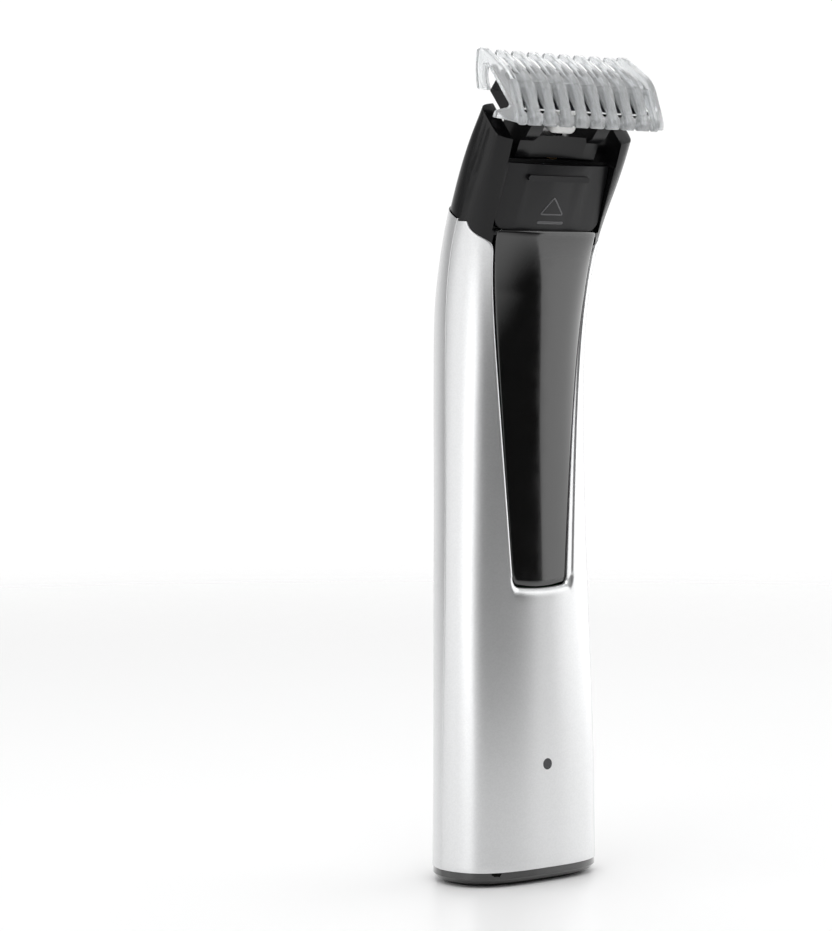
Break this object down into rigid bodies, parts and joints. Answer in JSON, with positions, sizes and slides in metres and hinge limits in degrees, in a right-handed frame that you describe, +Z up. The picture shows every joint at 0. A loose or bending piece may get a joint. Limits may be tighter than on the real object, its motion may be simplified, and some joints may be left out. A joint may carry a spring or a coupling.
{
  "type": "beard trimmer",
  "caption": "Cordless beard trimmer with a silver two-part body, gloss front insert, ribbed rear grip, slide switch, forked neck, double-edged blade head and clip-on comb.",
  "frame": {"origin": "middle of the resting face of the base", "axes": "+Z up along the handle, +X across the blade, the gloss front faces -Y, the ribbed grip faces +Y and the head leans to -Y"},
  "size_m": [0.0384, 0.0398, 0.1679],
  "materials": {
    "silver_paint": "satin metallic silver paint on moulded plastic",
    "gloss_black": "polished",
    "black_plastic": "satin",
    "grip_rubber": "moulded diamond ribs",
    "sole_rubber": "matt",
    "black_steel": "black coated, ground teeth",
    "bright_steel": "bright",
    "white_plastic": "moulded",
    "clear_plastic": "clear, lightly frosted",
    "lens_plastic": "smoked clear",
    "inner_plastic": "moulded",
    "board_green": "solder mask",
    "chip_black": "matt",
    "led_body": "matt",
    "cell_sleeve": "heat-shrink sleeve",
    "nickel": "nickel strip",
    "motor_steel": "zinc plated",
    "bronze": "sintered",
    "magnet": "matt",
    "lead_insulation": "matt"
  },
  "bodies": {
    "handle": {"shell_front": "silver_paint", "shell_rear": "silver_paint", "front_insert": "gloss_black", "base_cap": "gloss_black", "neck_frame": "black_plastic", "thumb_grip": "grip_rubber", "base_foot": "sole_rubber", "base_seal": "sole_rubber", "drive_seal": "sole_rubber", "case_screws": "bright_steel", "clamp_screws": "bright_steel", "base_clips": "bright_steel", "socket_pin": "bright_steel", "led_lens": "lens_plastic", "chassis": "inner_plastic", "battery_cradle": "inner_plastic", "charge_socket": "inner_plastic", "motor_end_bell": "inner_plastic", "slide_switch": "inner_plastic", "circuit_board": "board_green", "board_components": "chip_black", "status_led": "led_body", "battery_cell": "cell_sleeve", "battery_tabs": "nickel", "motor_can": "motor_steel", "motor_clamp": "motor_steel", "motor_bush": "bronze", "motor_magnets": "magnet", "motor_leads": "lead_insulation"},
    "slider": {"switch_plate": "black_plastic", "switch_carrier": "inner_plastic", "switch_lever": "inner_plastic"},
    "rotor": {"motor_armature": "motor_steel", "motor_shaft": "bright_steel", "drive_crank": "bronze", "crank_pin": "bright_steel"},
    "cartridge": {"cartridge_body": "black_plastic", "end_cap_left": "black_plastic", "end_cap_right": "black_plastic", "fixed_blade": "black_steel", "edge_strips": "bright_steel", "cutter_springs": "bright_steel", "head_screws": "bright_steel"},
    "cutter": {"moving_blade": "black_steel", "drive_yoke": "white_plastic", "yoke_pin": "bright_steel"},
    "comb": {"comb_guard": "clear_plastic"}
  },
  "joints": [
    {"name": "power_slide", "type": "slide", "parent": "handle", "child": "slider", "axis": [0, -0.2756, 0.9613], "range_m": [0, 0.003]},
    {"name": "motor_spin", "type": "hinge", "parent": "handle", "child": "rotor", "pos_m": [0, -0.01049, 0.14758], "axis": [0, -0.4695, 0.8829], "continuous": true},
    {"name": "cartridge_pull", "type": "slide", "parent": "handle", "child": "cartridge", "axis": [0, -0.4695, 0.8829], "range_m": [0, 0.016]},
    {"name": "cutter_stroke", "type": "slide", "parent": "cartridge", "child": "cutter", "axis": [1, 0, 0], "range_m": [-0.0007, 0.0007]},
    {"name": "comb_pull", "type": "slide", "parent": "cartridge", "child": "comb", "axis": [0, -0.766, 0.6428], "range_m": [0, 0.025]}
  ]
}
